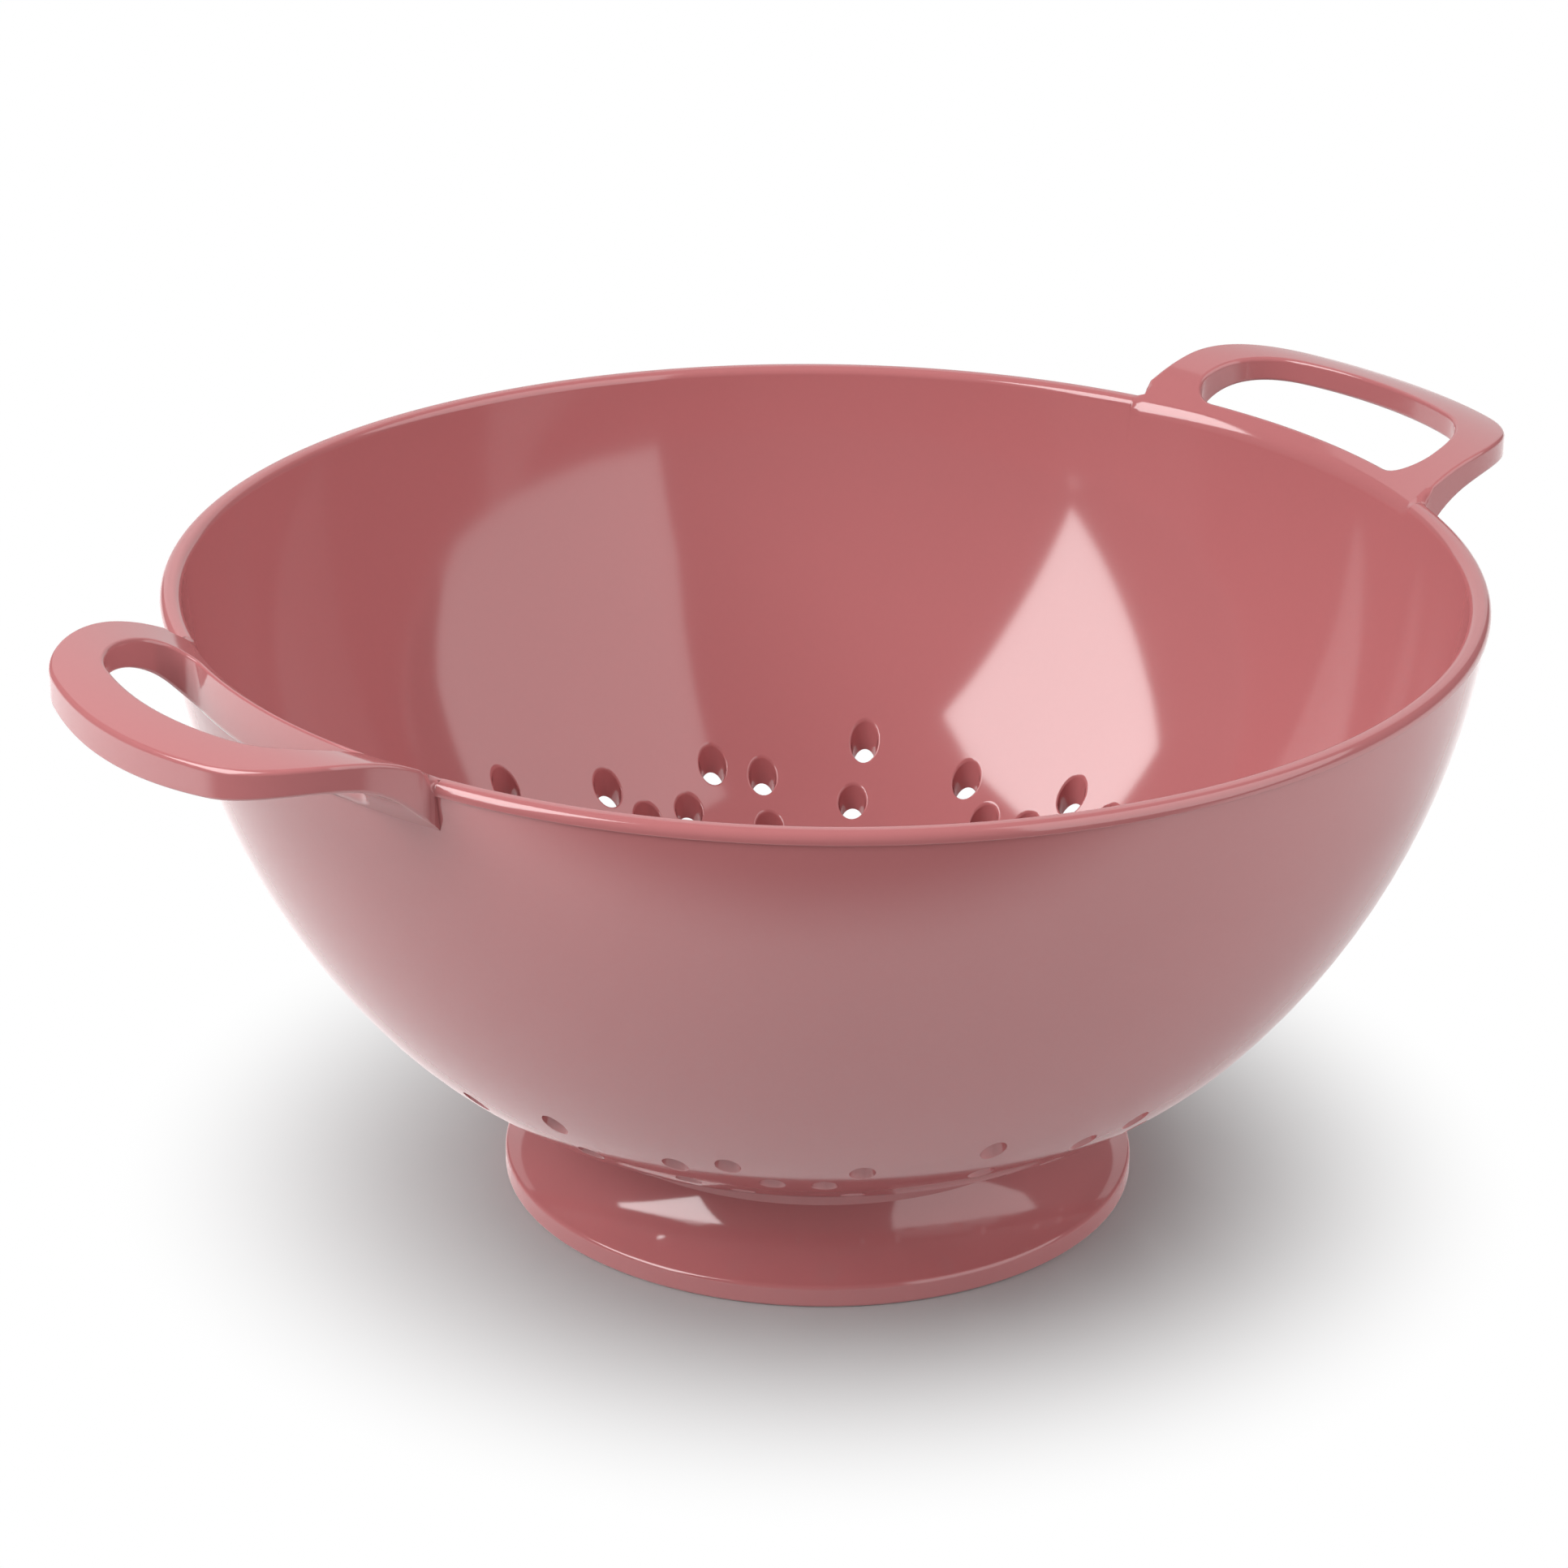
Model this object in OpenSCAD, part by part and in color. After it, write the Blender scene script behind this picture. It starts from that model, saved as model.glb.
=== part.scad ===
// Melamine colander: a perforated bowl on a flared foot ring, with two arched
// loop handles let into its rim. The handles lie along X, the foot rests on z = 0.

/* [Bowl] */
// Outer radius of the rim bead
rim_r = 120; // [112:1:130]
// Thickness of the bowl wall
wall = 3.5; // [3:0.1:4.2]
// How far the rim bead stands out from the wall
bead_out = 0.5; // [0.3:0.1:0.8]
// Height of the bead, from its lower edge to the rim top
bead_h = 2.3; // [2.1:0.1:3]
// Rounding of both edges of the rim top
rim_round = 1.75; // [1.2:0.05:1.9]
// Outer radius of the arc of the upper wall
side_r = 135.7; // [130:0.1:145]
// Height of the upper wall arc's centre above the rim top
side_rise = 12.4; // [9:0.1:16]
// Outer radius of the arc between the upper wall and the base
corner_r = 84.5; // [78:0.5:92]
// Angle from straight down at which the corner arc begins
side_turn = 49.8; // [47:0.1:53]
// Outer radius of the shallow cap that forms the base
base_r = 243; // [225:1:270]
// Height of the base's lowest point above the table
base_z = 12.9; // [12:0.1:15]

/* [Drain holes] */
// Diameter of a drain hole
hole_d = 6.3; // [4.5:0.1:6.5]
// Number of equal sectors in which the scattered holes repeat
hole_sectors = 7; // [6:1:7]

/* [Foot] */
// Outer radius of the foot's lip
foot_r = 59.5; // [56:0.5:62]
// Height of the lip
lip_h = 4.4; // [3.6:0.1:5]
// Rounding of both edges of the lip
lip_round = 0.7; // [0.4:0.1:1]
// Radius of the hollow flare between lip and neck
flare_r = 10.4; // [9:0.1:11]
// Wall of the foot ring
foot_wall = 3.9; // [3:0.1:4.5]
// Width of the tread that rests on the table
tread_w = 4.2; // [3:0.1:5]
// Least depth of the land under the bowl on which the neck seats
seat_land = 0.4; // [0.2:0.1:0.8]
// Radial width of the locating ring inside the neck
ring_w = 3; // [2:0.1:4]
// Depth of the locating ring below the seat
ring_d = 3; // [2:0.1:4]

/* [Handles] */
// How far a handle reaches beyond the rim
handle_out = 30; // [27:0.5:33]
// Width of a handle across its flanks
handle_w = 79.8; // [76:0.2:86]
// Plan radius of the handle's outer edge
dome_r = 79.6; // [72:0.2:90]
// Plan radius of the handle's outer corners
shoulder_r = 22.7; // [19:0.1:25]
// Plan radius of the fillet between a flank and the rim
root_fillet_r = 4; // [3:0.1:5]
// Distance of the arch's crest beyond the rim
crest_out = 18.7; // [17.5:0.1:20]
// Height of the arch's crest above the rim top
crest_rise = 7.15; // [6.2:0.05:8]
// Radius of the arched top face, across the handle
arch_r = 34.3; // [32:0.1:37]
// Thickness of the handle at its crest
handle_t = 4.9; // [4:0.1:5.4]
// Radius of the hollow underside, across the handle
under_r = 21.7; // [20.5:0.1:22]
// Length of the finger slot, along the rim
slot_l = 61.8; // [56:0.2:64]
// Plan radius of the slot's outer edge
slot_dome_r = 69.2; // [62:0.2:76]
// Plan radius of the slot's outer corners
slot_shoulder_r = 15.5; // [13.5:0.1:16.5]
// Width of the grip bar beyond the slot
grip_w = 9.1; // [8:0.1:10.5]

/* [Joints] */
// Depth below the rim top of the ledge on which a handle root seats
ledge_drop = 8.8; // [8:0.1:9.6]
// Thickness of the tongue under the handle root
tongue_t = 1.2; // [0.8:0.1:1.4]
// Depth of the tongue
tongue_d = 2; // [1.5:0.1:2.5]
// Clearance of a tongue in its groove, and of the foot round its ring
fit_gap = 0.1; // [0.05:0.01:0.15]
// Width of the hairline between a handle root's end and the rim
seam_gap = 0.15; // [0.1:0.01:0.25]

/* [Hidden] */
$fn = 240;

// Overrun of a cut past the face that it opens
cut = 2;

// Places of the drain holes in one sector, each as a share of the sector's turn
// and a share of the rim radius
hole_place_shares = [
    [0.889, 0.731], [0.294, 0.7075], [0.601, 0.699], [0.161, 0.69],
    [0.91, 0.657], [0.387, 0.654], [0.516, 0.652], [0.156, 0.621],
    [0.012, 0.5825], [0.286, 0.579], [0.599, 0.579],
    [0.375, 0.528], [0.887, 0.53], [0.7, 0.518], [0.12, 0.47], [0.55, 0.465],
    [0.28, 0.29], [0.64, 0.28], [0.05, 0.195], [0.52, 0.2], [0.3, 0.105]
];

// Share of a handle root's half angle that its tongue covers
tongue_share = 0.92;

// Wall arcs as [radius, height] centres, first measured from the rim top
side_centre_r = rim_r - bead_out - sqrt(pow(side_r, 2) - pow(side_rise + bead_h, 2));
corner_centre_r = side_centre_r + (side_r - corner_r) * sin(side_turn);
corner_rise = side_rise - (side_r - corner_r) * cos(side_turn);
base_turn = asin(corner_centre_r / (base_r - corner_r));
base_rise = corner_rise + (base_r - corner_r) * cos(base_turn);
rim_z = base_z + base_r - base_rise;
side_centre = [side_centre_r, rim_z + side_rise];
corner_centre = [corner_centre_r, rim_z + corner_rise];
base_centre = [0, rim_z + base_rise];

// Height of the bead's lower edge, where the wall proper ends
bead_z = rim_z - bead_h;

// Radius of the wall at height z in the upper arc, at a depth under its outer face
function wall_r(z, depth) =
    side_centre[0] + sqrt(pow(side_r - depth, 2) - pow(side_centre[1] - z, 2));

// Height of the bowl's underside at radius r
function underside_z(r) =
    r < base_r * sin(base_turn)
        ? base_centre[1] - sqrt(pow(base_r, 2) - pow(r, 2))
        : corner_centre[1] - sqrt(pow(corner_r, 2) - pow(r - corner_centre[0], 2));

// Rim top: the rounding is limited by the width that the bead and wall leave
rim_edge = min(rim_round, (wall + bead_out) * 0.47);
rim_edge_z = rim_z - rim_edge;
inner_edge_r = wall_r(rim_edge_z, wall - rim_edge);
inner_edge = [inner_edge_r, rim_edge_z];
outer_edge = [rim_r - rim_edge, rim_edge_z];
// Direction in which the inner rounding leaves the inside of the wall
lip_lean = asin((side_centre[1] - rim_edge_z) / (side_r - wall + rim_edge));
lip_touch = inner_edge + rim_edge * [-cos(lip_lean), sin(lip_lean)];
inside_points = wall_points(lip_touch[1], wall);

// Foot: the flare runs from the lip's rounding up to the neck
neck_r = foot_r - lip_round - flare_r;
ring_r = neck_r - foot_wall - fit_gap;
seat_z = underside_z(ring_r) - seat_land;
flare_centre = [neck_r + flare_r, lip_h + flare_r];

// Handle outline seen from above, as [along X, along Y] places
reach = rim_r + handle_out;
dome_centre = [reach - dome_r, 0];
shoulder_y = handle_w / 2 - shoulder_r;
shoulder_turn = asin(shoulder_y / (dome_r - shoulder_r));
shoulder = dome_centre + (dome_r - shoulder_r) * [cos(shoulder_turn), sin(shoulder_turn)];
fillet_y = handle_w / 2 + root_fillet_r;
root_half = asin(fillet_y / (rim_r + root_fillet_r));
fillet = (rim_r + root_fillet_r) * [cos(root_half), sin(root_half)];
notch_half = root_half + atan(seam_gap / rim_r);

// Finger slot outline: its inner corners run straight into its outer ones
slot_dome_centre = [reach - grip_w - slot_dome_r, 0];
slot_shoulder_y = slot_l / 2 - slot_shoulder_r;
slot_shoulder_turn = asin(slot_shoulder_y / (slot_dome_r - slot_shoulder_r));
slot_shoulder =
    slot_dome_centre
    + (slot_dome_r - slot_shoulder_r) * [cos(slot_shoulder_turn), sin(slot_shoulder_turn)];
slot_corner_r =
    (pow(slot_shoulder[0], 2) + pow(slot_l / 2, 2) - pow(rim_r, 2)) / (2 * rim_r + slot_l);
slot_corner = [slot_shoulder[0], slot_l / 2 - slot_corner_r];
slot_corner_turn = atan2(slot_corner[1], slot_corner[0]);

// Handle section across the rim, as [radius, height] places
crest = [rim_r + crest_out, rim_z + crest_rise];
arch_centre = crest - [0, arch_r];
under_centre = crest - [0, handle_t + under_r];
ledge_z = rim_z - ledge_drop;
// The gusset line runs from the wall's outer face at the ledge, tangent to the hollow
gusset_foot = [wall_r(ledge_z, 0), ledge_z];
gusset_reach = norm(under_centre - gusset_foot);
gusset_slope =
    atan2(under_centre[1] - gusset_foot[1], under_centre[0] - gusset_foot[0])
    + asin(under_r / gusset_reach);
gusset_top =
    gusset_foot
    + sqrt(pow(gusset_reach, 2) - pow(under_r, 2)) * [cos(gusset_slope), sin(gusset_slope)];
tongue_r = (wall_r(ledge_z, 0) + wall_r(ledge_z - tongue_d, wall)) / 2;

// Number of steps that draw one turn of a rounded edge
edge_steps = 4;

// Points along an arc about a centre, between two directions
function arc(centre, radius, from, to, steps) = [
    for (i = [0 : steps])
        let (turn = from + (to - from) * i / steps)
            centre + radius * [cos(turn), sin(turn)]
];

function reversed(points) = [for (i = [len(points) - 1 : -1 : 0]) points[i]];

function mirrored(points) = [for (place = reversed(points)) [place[0], -place[1]]];

// Direction of the upper arc's surface at height z, at a depth under its outer face
function side_turn_at(z, depth) = asin((z - side_centre[1]) / (side_r - depth));

// Points of the wall from the axis out and up to height z, at a depth
function wall_points(z, depth) = concat(
    arc(base_centre, base_r - depth, -90, base_turn - 90, 4),
    arc(corner_centre, corner_r - depth, base_turn - 90, side_turn - 90, 10),
    arc(side_centre, side_r - depth, side_turn - 90, side_turn_at(z, depth), 10)
);

// Quarter of a disc, cut square, for the edges and the flare of the foot
module slice(centre, radius, from, to) {
    middle = (from + to) / 2;
    translate(centre)
        intersection() {
            circle(radius);
            polygon([
                [0, 0],
                2 * radius * [cos(from), sin(from)],
                2 * radius * [cos(middle), sin(middle)],
                2 * radius * [cos(to), sin(to)]
            ]);
        }
}

// Turns a section about the bowl's axis over an angle each side of X
module turn_section(half_angle) {
    rotate([0, 0, -half_angle])
        rotate_extrude(angle = 2 * half_angle)
            children();
}

// Land and locating ring under the bowl that take the foot's neck
module foot_seat_section() {
    translate([ring_r - ring_w, seat_z - ring_d])
        square([ring_w, ring_d + wall / 2]);
    translate([ring_r - ring_w, seat_z])
        square([neck_r - ring_r + ring_w, wall]);
}

// The wall, with its bead and rounded rim
module wall_section() {
    polygon(concat(
        wall_points(bead_z, 0),
        [[rim_r, bead_z]],
        arc(outer_edge, rim_edge, 0, 90, edge_steps),
        arc(inner_edge, rim_edge, 90, 180 - lip_lean, edge_steps),
        [for (i = [len(inside_points) - 2 : -1 : 0]) inside_points[i]]
    ));
}

module bowl_section() {
    wall_section();
    difference() {
        foot_seat_section();
        polygon(concat([[0, rim_z]], inside_points));
    }
}

// Gap in the rim for one handle root, with the groove for its tongue
module handle_notch() {
    turn_section(notch_half)
        translate([rim_r - 3 * wall, ledge_z])
            square([4 * wall, ledge_drop + cut]);
    turn_section(root_half * tongue_share + atan(fit_gap / rim_r))
        translate([tongue_r - tongue_t / 2 - fit_gap, ledge_z - tongue_d - fit_gap])
            square([tongue_t + 2 * fit_gap, tongue_d + fit_gap + cut]);
}

module drain_holes() {
    cylinder(h = rim_z, d = hole_d, $fn = 32);
    for (sector = [0 : hole_sectors - 1])
        for (place = hole_place_shares)
            rotate([0, 0, (sector + place[0]) * 360 / hole_sectors])
                translate([place[1] * rim_r, 0, 0])
                    cylinder(h = rim_z, d = hole_d, $fn = 32);
}

module bowl() {
    color([0.76, 0.47, 0.48])
        difference() {
            rotate_extrude()
                bowl_section();
            handle_notch();
            rotate([0, 0, 180])
                handle_notch();
            drain_holes();
        }
}

module foot_section() {
    difference() {
        union() {
            square([foot_r - lip_round, lip_h]);
            translate([0, lip_round])
                square([foot_r, lip_h - 2 * lip_round]);
            slice([foot_r - lip_round, lip_round], lip_round, -90, 0);
            slice([foot_r - lip_round, lip_h - lip_round], lip_round, 0, 90);
            square([neck_r, seat_z]);
            difference() {
                square(flare_centre);
                slice(flare_centre, flare_r, 180, 270);
            }
        }
        square([neck_r - foot_wall, seat_z + cut]);
        difference() {
            square([foot_r - tread_w, flare_centre[1]]);
            slice(flare_centre, flare_r + foot_wall, 180, 270);
        }
    }
}

module foot() {
    color([0.68, 0.4, 0.41])
        rotate_extrude()
            foot_section();
}

// Section of the handle: arched on top, hollow below, flush inside with the bowl
module handle_section() {
    difference() {
        intersection() {
            translate(arch_centre)
                circle(arch_r);
            translate([rim_r - 2 * wall, ledge_z])
                square([handle_out + 3 * wall, ledge_drop + crest_rise + cut]);
        }
        translate(side_centre)
            circle(side_r - wall);
        translate(under_centre)
            circle(under_r);
        polygon([gusset_foot, gusset_top, under_centre, [gusset_foot[0], under_centre[1]]]);
    }
}

// One half of the outline from above, from its outermost place back to the rim
half_outline = concat(
    arc(dome_centre, dome_r, 0, shoulder_turn, 5),
    arc(shoulder, shoulder_r, shoulder_turn, 90, 8),
    arc(fillet, root_fillet_r, 270, 180 + root_half, edge_steps)
);

// One half of the slot, from its outermost place round to the rim's circle
half_slot = concat(
    arc(slot_dome_centre, slot_dome_r, 0, slot_shoulder_turn, 5),
    arc(slot_shoulder, slot_shoulder_r, slot_shoulder_turn, 90, 7),
    arc(slot_corner, slot_corner_r, 90, 180 + slot_corner_turn, 6)
);

// The slot's inner side follows the rim
rim_side = arc([0, 0], rim_r, slot_corner_turn, -slot_corner_turn, 10);

module handle_plan() {
    difference() {
        polygon(concat(half_outline, [[0, 0]], mirrored(half_outline)));
        polygon(concat(half_slot, rim_side, mirrored(half_slot)));
    }
}

module handle() {
    color([0.8, 0.54, 0.55])
        union() {
            intersection() {
                turn_section(root_half + cut)
                    handle_section();
                translate([0, 0, ledge_z - cut])
                    linear_extrude(ledge_drop + crest_rise + 2 * cut)
                        handle_plan();
            }
            turn_section(root_half * tongue_share)
                translate([tongue_r - tongue_t / 2, ledge_z - tongue_d])
                    square([tongue_t, 2 * tongue_d]);
        }
}

module handle_right() {
    handle();
}

module handle_left() {
    rotate([0, 0, 180])
        handle();
}

bowl();
foot();
handle_right();
handle_left();
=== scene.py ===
import bpy
import math
import numpy as np
from mathutils import Matrix, Vector
from mathutils.geometry import delaunay_2d_cdt
from mathutils.kdtree import KDTree


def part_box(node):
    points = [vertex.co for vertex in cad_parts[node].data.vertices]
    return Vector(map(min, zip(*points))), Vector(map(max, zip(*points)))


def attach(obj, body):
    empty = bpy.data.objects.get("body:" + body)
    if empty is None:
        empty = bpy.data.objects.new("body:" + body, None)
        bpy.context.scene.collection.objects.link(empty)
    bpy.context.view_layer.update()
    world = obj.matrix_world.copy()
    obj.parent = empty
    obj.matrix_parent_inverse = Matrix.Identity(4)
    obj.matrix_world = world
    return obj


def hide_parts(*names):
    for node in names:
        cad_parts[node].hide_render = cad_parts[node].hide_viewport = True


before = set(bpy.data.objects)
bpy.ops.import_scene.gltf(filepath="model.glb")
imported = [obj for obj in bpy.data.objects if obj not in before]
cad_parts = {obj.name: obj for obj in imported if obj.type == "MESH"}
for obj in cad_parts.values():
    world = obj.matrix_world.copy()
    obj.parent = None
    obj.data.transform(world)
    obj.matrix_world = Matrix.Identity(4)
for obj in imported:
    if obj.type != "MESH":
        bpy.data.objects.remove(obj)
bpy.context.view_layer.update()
MM = 0.001

# The camera
# It stands where the photograph was taken from: about 0.87 m from the middle of the
# rim, nearer to the left handle than to the right one, and 20.5 degrees above the rim.
CAMERA_AZIMUTH = 38.73
CAMERA_BACK = 0.81557
CAMERA_HEIGHT = 0.42489
LENS_PIXELS = 5905.4
FRAME_PIXELS = 1932
LOOK_YAW = 0.498
LOOK_DOWN = 23.100
LOOK_ROLL = 0.569

camera_data = bpy.data.cameras.new("photo_camera")
camera_data.sensor_width = 36.0
camera_data.lens = LENS_PIXELS / FRAME_PIXELS * camera_data.sensor_width
camera_data.clip_start = 0.05
camera_data.clip_end = 50.0
camera = bpy.data.objects.new("photo_camera", camera_data)
bpy.context.scene.collection.objects.link(camera)
camera_turn = math.radians(-CAMERA_AZIMUTH)
camera_way = (math.sin(camera_turn), -math.cos(camera_turn), 0.0)
place = (CAMERA_BACK * camera_way[0], CAMERA_BACK * camera_way[1], CAMERA_HEIGHT)
camera.matrix_world = (
    Matrix.Translation(place)
    @ Matrix.Rotation(camera_turn + math.radians(LOOK_YAW), 4, "Z")
    @ Matrix.Rotation(math.radians(90 - LOOK_DOWN), 4, "X")
    @ Matrix.Rotation(math.radians(LOOK_ROLL), 4, "Z")
)
bpy.context.scene.camera = camera

# The bowl
# A shell of moulded melamine, 3.5 mm thick, pressed in one shot between two polished
# dies. Its drain holes narrow downward, with softened edges, and its rim carries a
# fine bead where the dies part and two notches that take the handles.
rim_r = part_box("bowl")[1].y / MM
rim_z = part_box("bowl")[1].z / MM
WALL = 3.5
BEAD_OUT = 0.5
BEAD_H = 2.3
RIM_ROUND = 1.75
SIDE_R, SIDE_RISE, SIDE_TURN = 135.7, 12.4, math.radians(49.8)
CORNER_R = 84.5
BASE_R = 243.0
CREASE_R = 0.15
FULL = 2 * math.pi

bead_z = rim_z - BEAD_H
side_c = np.array([
    rim_r - BEAD_OUT - math.sqrt(SIDE_R**2 - (SIDE_RISE + BEAD_H) ** 2),
    rim_z + SIDE_RISE,
])
corner_way = np.array([math.sin(SIDE_TURN), -math.cos(SIDE_TURN)])
corner_c = side_c + (SIDE_R - CORNER_R) * corner_way
base_turn = math.asin(corner_c[0] / (BASE_R - CORNER_R))
base_c = np.array([0.0, corner_c[1] + (BASE_R - CORNER_R) * math.cos(base_turn)])
# The arcs of the wall's outer face from the middle outward: centre, radius, last turn
ARCS = (
    (base_c, BASE_R, base_turn),
    (corner_c, CORNER_R, SIDE_TURN),
    (side_c, SIDE_R, math.pi / 2),
)


def wall_height(r, depth):
    """Height and slope of the wall at radius r, at a depth under its outer face."""
    r = np.asarray(r, float)
    z, slope = np.zeros_like(r), np.zeros_like(r)
    done = np.zeros(r.shape, bool)
    for centre, radius, until in ARCS:
        here = ~done & (r <= centre[0] + (radius - depth) * math.sin(until) + 1e-9)
        drop = np.sqrt(np.maximum((radius - depth) ** 2 - (r[here] - centre[0]) ** 2, 1e-9))
        z[here] = centre[1] - drop
        slope[here] = (r[here] - centre[0]) / drop
        done |= here
    return z, slope


def wall_radius(z, depth):
    """Radius of the side of the wall at a height, at a depth under its outer face."""
    return side_c[0] + math.sqrt((SIDE_R - depth) ** 2 - (side_c[1] - z) ** 2)


# The weld also closes the tiny rounding along the seams
WELD_REACH = 0.025


def same_places(points):
    """For each place, the number of the first place that lies within reach of it."""
    tree = KDTree(len(points))
    for i, p in enumerate(points):
        tree.insert(p, i)
    tree.balance()
    same = np.arange(len(points))
    for i, p in enumerate(points):
        if same[i] == i:
            for _, other, _ in tree.find_range(p, WELD_REACH):
                if other > i and same[other] == other:
                    same[other] = i
    return same


def mesh_piece(name, points, faces, normals, material):
    """A closed piece from points in millimetres, each corner with its own direction."""
    points, normals = np.asarray(points, float), np.asarray(normals, float)
    same = same_places(points)
    turned, corners = [], []
    for face in faces:
        face = [i for k, i in enumerate(face) if same[i] != same[face[k - 1]]]
        if len(face) < 3:
            continue
        spokes = points[face[1:]] - points[face[0]]
        way = np.cross(spokes[:-1], spokes[1:]).sum(0)
        if way @ normals[face].sum(0) < 0:
            face = face[::-1]
        turned.append([int(same[i]) for i in face])
        corners += face
    used, short = np.unique(np.concatenate(turned), return_inverse=True)
    ends = np.cumsum([len(f) for f in turned])[:-1]
    mesh = bpy.data.meshes.new(name)
    polygons = [f.tolist() for f in np.split(short, ends)]
    mesh.from_pydata((points[used] * MM).tolist(), [], polygons)
    mesh.materials.append(material)
    mesh.shade_smooth()
    mesh.normals_split_custom_set(normals[corners].tolist())
    piece = bpy.data.objects.new(name, mesh)
    bpy.context.scene.collection.objects.link(piece)
    return piece


def circle(turns):
    """Directions in the plan at some turns."""
    return np.stack([np.cos(turns), np.sin(turns)], 1)


MOUTH_R = 3.2
MOUTH_EDGE = 0.45
EXIT_R = 2.25
EXIT_EDGE = 0.15
HOLE_SIDES = 28
SECTORS = 7
EDGE_STEPS = 4
SHEET_R = 94.0
SECTOR_COLUMNS = 40
SECTOR_ROWS = 33
SWING = 0.05
SHEET_STEP, SHEET_SPAN = 3.0, 3.2
HOLE_CLEAR = 1.4
CHORD_SHARE = 0.9885
# Turn, as a share of a sector, and radius, as a share of the rim's, of each hole
HOLE_PLACES = (
    (-0.111, 0.731), (0.294, 0.7075), (0.601, 0.699), (0.161, 0.69),
    (-0.09, 0.657), (0.387, 0.654), (0.516, 0.652), (0.156, 0.621),
    (0.012, 0.5825), (0.286, 0.579), (0.599, 0.579),
    (0.375, 0.528), (-0.113, 0.53), (0.7, 0.518), (0.12, 0.47), (0.55, 0.465),
    (0.28, 0.29), (0.64, 0.28), (0.05, 0.195), (0.52, 0.2), (0.3, 0.105),
)
sector_turn = FULL / SECTORS
hole_turns = np.arange(HOLE_SIDES) * FULL / HOLE_SIDES
SECTOR_START = -0.2 * sector_turn
edge_turns = np.linspace(math.pi / 2, 0, EDGE_STEPS + 1)


def hole_centres(sectors):
    """Middles of the drain holes of some sectors, seen from above."""
    return np.array([
        share * rim_r * circle([(s + t) * sector_turn])[0]
        for s in sectors
        for t, share in HOLE_PLACES
    ])


def inside(points, loop):
    """Which places lie inside a closed loop."""
    x, y = points[:, 0][:, None], points[:, 1][:, None]
    a, b = loop, np.roll(loop, -1, 0)
    crosses = (a[:, 1] > y) != (b[:, 1] > y)
    rise = np.where(b[:, 1] == a[:, 1], 1e-12, b[:, 1] - a[:, 1])
    at = (b[:, 0] - a[:, 0]) * (y - a[:, 1]) / rise + a[:, 0]
    return (crosses & (x < at)).sum(1) % 2 == 1


SLIVER = 1e-3


def fill(loops, extra, keep):
    """Triangles that fill a flat region, kept where their middle passes the test."""
    points, edges = [], []
    for loop, closed in loops:
        first = len(points)
        points += [tuple(p) for p in loop]
        edges += [(first + i, first + i + 1) for i in range(len(loop) - 1)]
        if closed:
            edges.append((first + len(loop) - 1, first))
    points += [tuple(p) for p in extra]
    out = delaunay_2d_cdt([Vector(p) for p in points], edges, [], 0, 1e-7)
    placed = np.array([points[given[0]] if given else v[:] for v, given in zip(out[0], out[3])])
    faces = [tuple(f) for f in out[2]]
    corners = placed[np.array(faces)]
    span = corners[:, 1:] - corners[:, :1]
    area = np.abs(span[:, 0, 0] * span[:, 1, 1] - span[:, 0, 1] * span[:, 1, 0])
    good = keep(corners.mean(1)) & (area > SLIVER)
    return placed, [f for f, kept in zip(faces, good) if kept]


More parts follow.
